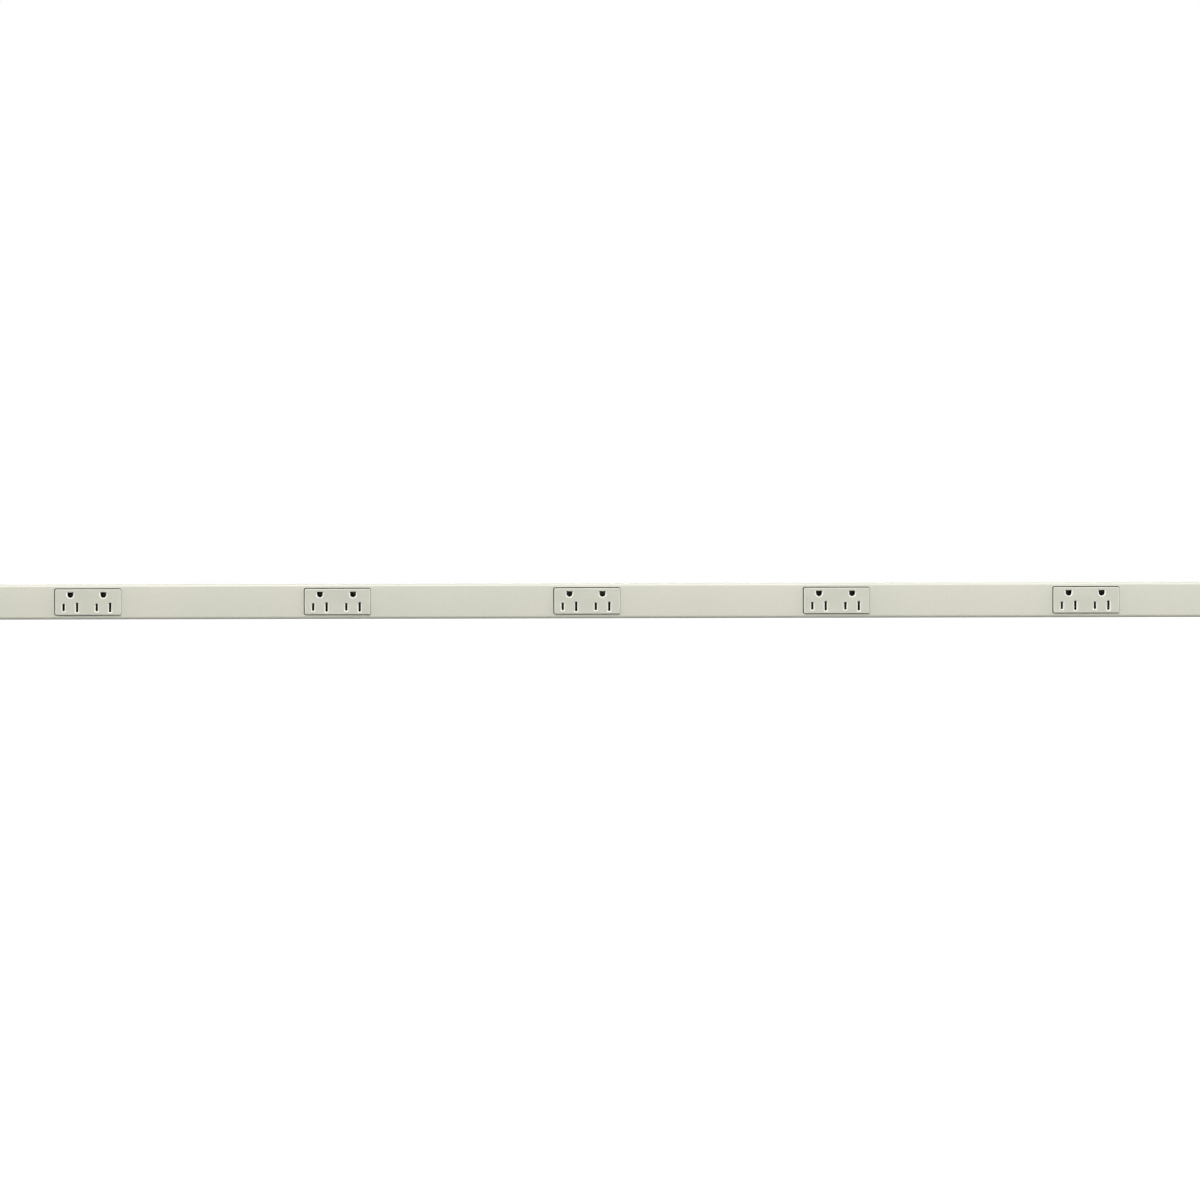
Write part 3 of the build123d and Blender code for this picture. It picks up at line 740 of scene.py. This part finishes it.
# %% A small language for materials
class Value:
    """A socket in a material; + - * / and < add Math nodes, or Vector Math nodes on a vector."""

    def __init__(self, finish, socket):
        self.finish = finish
        self.socket = socket

    def sum(self, operation, first, second):
        """Adds the node for one operation on two values."""
        kinds = [item.socket.type for item in (first, second) if isinstance(item, Value)]
        kind = "ShaderNodeVectorMath" if "VECTOR" in kinds else "ShaderNodeMath"
        return self.finish.node(kind, {"operation": operation}, {0: first, 1: second})

    def __add__(self, other):
        return self.sum("ADD", self, other)

    def __radd__(self, other):
        return self.sum("ADD", other, self)

    def __sub__(self, other):
        return self.sum("SUBTRACT", self, other)

    def __rsub__(self, other):
        return self.sum("SUBTRACT", other, self)

    def __mul__(self, other):
        return self.sum("MULTIPLY", self, other)

    def __rmul__(self, other):
        return self.sum("MULTIPLY", other, self)

    def __truediv__(self, other):
        return self.sum("DIVIDE", self, other)

    def __lt__(self, other):
        return self.sum("LESS_THAN", self, other)


class Finish:
    """One material; values that are the same all over go straight to the shader's own sockets."""

    def __init__(self, name, **uniform):
        self.material = bpy.data.materials.new(name)
        self.material.use_nodes = True
        self.tree = self.material.node_tree
        self.shader = self.tree.nodes["Principled BSDF"]
        for socket, value in uniform.items():
            self.shader.inputs[socket.replace("_", " ")].default_value = value
        self.place = self.node("ShaderNodeTexCoord", {}, {}, output="Object")

    def put(self, socket, value):
        """Links a value to a socket, or sets it."""
        if isinstance(value, Value):
            self.tree.links.new(value.socket, socket)
        else:
            socket.default_value = value

    def node(self, kind, settings, inputs, output=0):
        """Adds a node: its settings first, then its sockets by name or number."""
        node = self.tree.nodes.new(kind)
        for key, value in settings.items():
            setattr(node, key, value)
        for key, value in inputs.items():
            self.put(node.inputs[key], value)
        return Value(self, node.outputs[output])

    def noise(self, scale, detail=2.0, stretch=(1, 1, 1), roughness=0.5):
        """Soft random blotches from 0 to 1; scale is how many there are in a metre."""
        place = self.place * stretch if stretch != (1, 1, 1) else self.place
        return self.node(
            "ShaderNodeTexNoise",
            {},
            {"Vector": place, "Scale": scale, "Detail": detail, "Roughness": roughness},
        )

    def spread(self, value, low, high):
        """Takes the part of a value between low and high to the whole range from 0 to 1."""
        inputs = {"Value": value, "From Min": low, "From Max": high}
        return self.node("ShaderNodeMapRange", {"clamp": True}, inputs)

    def blend(self, mask, first, second):
        """One colour where the mask is 0, another where it is 1."""
        return self.node(
            "ShaderNodeMix", {"data_type": "RGBA"}, {0: mask, 6: first, 7: second}, output=2
        )

    def bump(self, height, depth):
        """Raises the surface by the height times depth, in metres."""
        inputs = {"Height": height, "Distance": depth, "Strength": 1.0}
        self.put(self.shader.inputs["Normal"], self.node("ShaderNodeBump", {}, inputs))

    def axis(self, letter):
        """One coordinate of the surface, in metres: "x", "y" or "z"."""
        return self.node("ShaderNodeSeparateXYZ", {}, {0: self.place}, output="xyz".index(letter))

    def folded(self, letter, start, period):
        """The distance along an axis to the nearest of the places that repeat from start."""
        settings = {"operation": "PINGPONG"}
        return self.node("ShaderNodeMath", settings, {0: self.axis(letter) - start, 1: period / 2})

    def paint(self, colour=None, roughness=None, metallic=None):
        """Links what changes over the surface to the shader."""
        for socket, value in (("Base Color", colour), ("Roughness", roughness), ("Metallic", metallic)):
            if value is not None:
                self.put(self.shader.inputs[socket], value)


def colour(red, green, blue):
    """A colour written as it shows on a screen, from 0 to 255, made linear."""
    linear = []
    for part in (red, green, blue):
        part /= 255
        linear.append(part / 12.92 if part <= 0.04045 else ((part + 0.055) / 1.055) ** 2.4)
    return (*linear, 1.0)


# %% [markdown]
# ### Baked enamel
#
# The raceway is sprayed with an ivory powder enamel and baked. It is satin, with a very fine orange
# peel, and its colour drifts a little over centimetres. It could be one flat colour, but then the long
# plain stretches look like a drawing. Three sizes of noise give it the drift, the mottling and
# the peel.
#
# The rollers leave the front of the cover slightly crowned, which is why its top half looks a little
# lighter than its bottom half. The crown is too slight to model, so the bump carries it.
# The cut edges of the openings are painted darker, as painted shade that makes the gap round each plate
# look dark.

# %% Mix the enamel
peel_depth = 0.012 * MM
crown_radius = 260.0 * MM
# Painted shade for the cut edges of the openings, and the depths it spans.
gap_shade_colour = colour(80, 76, 64)
gap_shade_start = 0.2 * MM
gap_shade_full = 0.4 * MM
gap_shade_end = 0.95 * MM


def enamel(name, body_colour, lift_colour, crowned=False):
    """Ivory enamel; lift_colour is what the colour drifts to, and only the cover is crowned and has
    painted shade on its cut edges.
    """
    finish = Finish(name, IOR=1.5)
    drift = finish.noise(9.0, detail=1.0)
    mottle = finish.noise(260.0, detail=3.0)
    peel = finish.noise(1500.0, detail=2.0)
    mask = finish.spread(0.6 * drift + 0.4 * mottle, 0.38, 0.62)
    paint_colour = finish.blend(mask, body_colour, lift_colour)
    height = peel * peel_depth
    if crowned:
        up = finish.axis("z")
        height = height - up * up / (2 * crown_radius)
        deep = finish.axis("y") - cover_front
        flat_z = cover_side - cover_bend - sheet
        within = (up < flat_z) * (up * -1.0 < flat_z) * (deep < gap_shade_end)
        # The cut edges inside the openings take the painted shade colour.
        gap_shade = within * finish.spread(deep, gap_shade_start, gap_shade_full)
        paint_colour = finish.blend(gap_shade, paint_colour, gap_shade_colour)
    finish.paint(colour=paint_colour, roughness=0.34 + 0.12 * finish.noise(400.0, detail=3.0))
    finish.bump(height, depth=1.0)
    return finish


cover_paint = enamel("cover_enamel", colour(208, 209, 195), colour(214, 212, 199), crowned=True)
base_paint = enamel("base_enamel", colour(202, 201, 187), colour(208, 206, 193))
cap_paint = enamel("cap_enamel", colour(210, 209, 195), colour(215, 213, 200))
print("enamels:", cover_paint.material.name, base_paint.material.name, cap_paint.material.name)

# %% [markdown]
# ### Mouldings
#
# The receptacle faces are moulded in a plastic coloured to match, which came out a touch greener and
# darker. The front is finely textured, while the rounded edges and the funnels are smoother and painted
# paler, as a painted highlight. Below the cover, in the groove and in the throats of the slots, the same
# plastic is painted dark, as painted shade in these recesses. All this depends on how deep a point lies,
# and on how far it is from the middle of its plate, which one fold of the coordinates tells for all five.
#
# The bodies behind are black phenolic, a pressed powder, so they show pale specks of filler.

# %% Mix the mouldings
# These two depths bound the painted highlight on the rounded edges and funnels.
highlight_start = 0.004 * MM
highlight_full = 0.05 * MM
# These depths bound the painted shade in the groove and the throats.
recess_shade_start = 1.2 * MM
recess_shade_full = 1.35 * MM
throat_rise = 0.27 * MM  # the painted shade starts this much nearer the front in a throat than in the groove
throat_end = 1.95 * MM
groove_end = 3.75 * MM
groove_reach = 1.2 * MM
rim_width = 1.5 * MM
pitch = centres[1] - centres[0]


def face_moulding():
    """Ivory plastic, with a painted highlight on the edges and painted shade in the recesses."""
    finish = Finish("ivory_moulding", IOR=1.48)
    depth = finish.axis("y") - plate_front
    # This mask is 1 on the rounded edges and funnels: their paler colour is a painted highlight, their
    # lower roughness is real.
    edge = finish.spread(depth, highlight_start, highlight_full)
    along_plate = finish.folded("x", 0.0, pitch)
    across_plate = finish.folded("z", face_drop.z, pitch)

    def inside(margin):
        """1 for points inside the plate's outline, made larger by a margin."""
        return (along_plate < face_length / 2 + margin) * (across_plate < face_width / 2 + margin)

    throat = inside(-rim_width)
    # Painted shade: the groove round the plate and the throats of the slots are made dark.
    recess_shade_zone = inside(groove_reach) * (depth < groove_end - throat * (groove_end - throat_end))
    recess_shade = recess_shade_zone * finish.spread(depth + throat * throat_rise, recess_shade_start, recess_shade_full)
    flow = finish.noise(120.0, detail=3.0, stretch=(0.25, 1, 1))
    grain = finish.noise(2600.0, detail=2.0)
    mask = finish.spread(0.7 * flow + 0.3 * grain, 0.4, 0.62)
    front = finish.blend(mask, colour(201, 202, 188), colour(206, 207, 193))
    # The pale colour here is a painted highlight.
    front_and_highlight = finish.blend(edge, front, colour(234, 234, 224))
    # colour(40, 36, 27) is painted shade in the groove and the throats.
    finish.paint(
        colour=finish.blend(recess_shade, front_and_highlight, colour(40, 36, 27)),
        roughness=0.36 + 0.12 * finish.noise(700.0) - 0.17 * edge + 0.3 * recess_shade,
    )
    finish.bump(grain * (1.0 - edge), depth=0.006 * MM)
    return finish


def phenolic():
    """Black pressed powder with pale specks."""
    finish = Finish("black_phenolic", IOR=1.55, Specular_IOR_Level=0.15)
    specks = finish.spread(finish.noise(2200.0, detail=1.0), 0.66, 0.72)
    cloud = finish.noise(90.0, detail=3.0)
    dark = finish.blend(cloud, colour(11, 10, 10), colour(20, 19, 18))
    finish.paint(
        colour=finish.blend(specks * 0.2, dark, colour(120, 112, 98)),
        roughness=0.55 + 0.2 * cloud,
    )
    finish.bump(finish.noise(1400.0), depth=0.008 * MM)
    return finish


face_plastic = face_moulding()
body_plastic = phenolic()
print("mouldings:", face_plastic.material.name, body_plastic.material.name)

# %% [markdown]
# ### Bare and plated metal
#
# The contacts are folded from rolled brass, the wire clips from spring steel, and the screws are plated.
# Rolled strip has fine lines along it, so the noise is stretched that way. Plating is cloudy instead.
# Each metal is a little duller where it has been handled, which shows as a change of roughness.

# %% Mix the metals
def rolled_metal(name, bright, dull, roughness, stretch):
    """Strip with fine lines the way that stretch is smallest, and patches of tarnish."""
    finish = Finish(name, Metallic=1.0)
    lines = finish.noise(900.0, detail=3.0, stretch=stretch)
    tarnish = finish.spread(finish.noise(140.0, detail=4.0), 0.4, 0.65)
    finish.paint(
        colour=finish.blend(tarnish, bright, dull),
        roughness=roughness + 0.12 * lines + 0.1 * tarnish,
    )
    finish.bump(lines, depth=0.004 * MM)
    return finish


def plated_metal(name, bright, dull, roughness):
    """Plating with a cloudy gloss."""
    finish = Finish(name, Metallic=1.0)
    cloud = finish.noise(500.0, detail=4.0, roughness=0.6)
    finish.paint(
        colour=finish.blend(finish.spread(cloud, 0.35, 0.65), bright, dull),
        roughness=roughness + 0.18 * cloud,
    )
    finish.bump(finish.noise(2400.0), depth=0.003 * MM)
    return finish


along = (0.06, 1, 1)
around = (1, 0.06, 0.06)
contact_brass = rolled_metal("rolled_brass", colour(166, 130, 72), colour(104, 80, 50), 0.26, along)
spring_steel = rolled_metal(
    "tempered_steel", colour(150, 152, 156), colour(112, 114, 120), 0.3, around
)
zinc_steel = plated_metal("zinc_plate", colour(196, 198, 200), colour(164, 166, 166), 0.24)
green_steel = plated_metal("green_plate", colour(60, 148, 92), colour(34, 104, 62), 0.28)
tinned_copper = plated_metal("tin_plate", colour(206, 206, 202), colour(172, 170, 164), 0.28)
metals = (contact_brass, spring_steel, zinc_steel, green_steel, tinned_copper)
print("metals:", *[metal.material.name for metal in metals])

# %% [markdown]
# ### Insulated wire
#
# A wire and its bare ends are one piece, so the material tells insulation from copper by place. The
# bare ends lie inside the receptacles, at a known distance from the middle of each, and at the feed end.
# The fold that served the faces covers all the receptacles here too, with a single test.

# %% Mix the wires
insulation_edge = 31.3 * MM
tail_bare_end = 26.0 * MM  # from the feed end
green_bare_length = 11.8 * MM  # from the ground screw


def wire_finish(name, dark, light, feed_edge):
    """Glossy insulation, with copper near the receptacles and beyond feed_edge."""
    finish = Finish(name, IOR=1.5)
    near_receptacle = finish.folded("x", 0.0, pitch) < insulation_edge
    near_feed = finish.axis("x") < feed_edge
    copper = finish.spread(near_receptacle + near_feed, 0.0, 1.0)
    scuff = finish.spread(finish.noise(220.0, detail=4.0, stretch=(0.2, 1, 1)), 0.42, 0.66)
    jacket = finish.blend(scuff, dark, light)
    metal = finish.blend(scuff, colour(202, 124, 84), colour(158, 92, 62))
    finish.paint(
        colour=finish.blend(copper, jacket, metal),
        roughness=0.22 + 0.16 * scuff,
        metallic=copper,
    )
    finish.bump(finish.noise(700.0), depth=0.01 * MM)
    return finish


tail_edge = tail_bare_end - end_x
green_edge = pad_x + green_bare_length
black_wire = wire_finish("black_insulation", colour(22, 22, 24), colour(38, 38, 40), tail_edge)
white_wire = wire_finish("white_insulation", colour(226, 226, 220), colour(238, 238, 233), tail_edge)
green_wire = wire_finish("green_insulation", colour(26, 116, 58), colour(36, 134, 70), green_edge)
print("wires: insulation ends", round(insulation_edge / MM, 1), "mm from each receptacle's middle")

# %% [markdown]
# ## Putting the finishes on
#
# A new piece takes the place of a CAD node, which is hidden, and gets its finish. The CAD nodes that
# stay only get their material.

# %% Dress the pieces
def dress(piece, finish, node):
    """Gives a new piece its finish and lets it stand for a CAD node."""
    piece.data.materials.clear()
    piece.data.materials.append(finish.material)
    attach(piece, "root")
    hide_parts(node)


def dress_nodes(start, finish):
    """Gives the CAD nodes whose names start so their finish."""
    for name, node in nodes.items():
        if name.startswith(start):
            for material_slot in node.material_slots:
                material_slot.material = finish.material


dress(cover, cover_paint, "raceway_cover")
dress(base, base_paint, "raceway_base")
dress(left_cap, cap_paint, "end_cap_left")
dress(right_cap, cap_paint, "end_cap_right")
for number, piece in enumerate(faces, 1):
    dress(piece, face_plastic, f"receptacle_face_{number}")

kept = {
    "receptacle_body": body_plastic,
    "hot_contact": contact_brass,
    "neutral_contact": contact_brass,
    "ground_contact": contact_brass,
    "wire_clip": spring_steel,
    "receptacle_screws": zinc_steel,
    "ground_screw": green_steel,
    "ring_terminal": tinned_copper,
    "black_": black_wire,
    "white_": white_wire,
    "green_": green_wire,
}
for start, finish in kept.items():
    dress_nodes(start, finish)
print("kept CAD nodes:", sum(name.startswith(tuple(kept)) for name in nodes))

# %% [markdown]
# ## Floor and light
#
# The photograph has a plain white ground and soft studio light: a long soft box above and in front,
# which makes the top bend bright and leaves the bottom one dark, and fainter light from both sides, which
# draws the bevels round the slots. Sun lamps with a wide angle do this evenly along more than a metre.
# The lamp behind only reaches the back, which the photograph doesn't show. The right end is a little
# lighter in the photograph, so a panel stands closer to it than to the left one.
#
# The white of the background comes from what the camera sees directly, not from more light on the
# object. The floor shows the camera mostly white, with a share of its true shading for the shadow.

# %% Build the studio
def light(name, kind, energy, place):
    """A light of some kind at a place, pointed at the middle of the raceway."""
    item = bpy.data.objects.new(name, bpy.data.lights.new(name, kind))
    bpy.context.scene.collection.objects.link(item)
    item.data.energy = energy
    item.location = place
    item.rotation_euler = place.to_track_quat("Z", "Y").to_euler()
    return item


def sun(name, azimuth, elevation, strength, spread):
    """A sun lamp; azimuth is measured from straight in front, and plus is to the right."""
    azimuth, elevation = math.radians(azimuth), math.radians(elevation)
    level = math.cos(elevation)
    place = Vector((math.sin(azimuth) * level, -math.cos(azimuth) * level, math.sin(elevation)))
    light(name, "SUN", strength, place).data.angle = math.radians(spread)


sun("soft_box", azimuth=-12, elevation=54, strength=2.58, spread=24)
sun("left_fill", azimuth=-80, elevation=4, strength=2.4, spread=28)
sun("right_fill", azimuth=80, elevation=4, strength=2.8, spread=28)
sun("back_fill", azimuth=180, elevation=3, strength=1.6, spread=28)
panel = light("right_panel", "AREA", energy=2.0, place=Vector((1.4, -1.2, 0.6)))
panel.data.size = 0.6
panel.visible_camera = False

ambient = 0.15
floor_side = 16.0
floor_white = 0.72
floor_albedo = 0.36


def seen_rays(finish):
    """1 for rays that show the background: straight to the camera, mirrored or through glass."""
    rays = [
        finish.node("ShaderNodeLightPath", {}, {}, output=kind)
        for kind in ("Is Camera Ray", "Is Glossy Ray", "Is Transmission Ray")
    ]
    return finish.spread(rays[0] + rays[1] + rays[2], 0.0, 1.0)


floor_finish = Finish("pale_floor", Roughness=1.0, Specular_IOR_Level=0.0)
floor_finish.paint(colour=(floor_albedo, floor_albedo, floor_albedo, 1.0))
plain = Value(floor_finish, floor_finish.shader.outputs[0])
white = floor_finish.node("ShaderNodeEmission", {}, {"Strength": floor_white})
both = floor_finish.node("ShaderNodeAddShader", {}, {0: plain, 1: white})
mixed = {0: seen_rays(floor_finish), 1: plain, 2: both}
shown = floor_finish.node("ShaderNodeMixShader", {}, mixed)
output = floor_finish.tree.nodes["Material Output"]
floor_finish.put(output.inputs["Surface"], shown)

select_only()
lowest = min(Vector(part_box(name)[0]).z for name in nodes)
bpy.ops.mesh.primitive_plane_add(size=floor_side, location=(0, 0, lowest))
floor = start_piece("floor")
floor.data.materials.append(floor_finish.material)


class Sky(Finish):
    """The world, with the same node method as a material."""

    def __init__(self):
        world = bpy.data.worlds.new("studio")
        bpy.context.scene.world = world
        world.use_nodes = True
        self.tree = world.node_tree


sky = Sky()
background = sky.tree.nodes["Background"]
background.inputs["Color"].default_value = (1, 1, 1, 1)
sky.put(background.inputs["Strength"], ambient + (1 - ambient) * seen_rays(sky))
bpy.context.scene.view_settings.view_transform = "Standard"
print("floor at z =", round(lowest / MM, 2), "mm, ambient light", ambient)
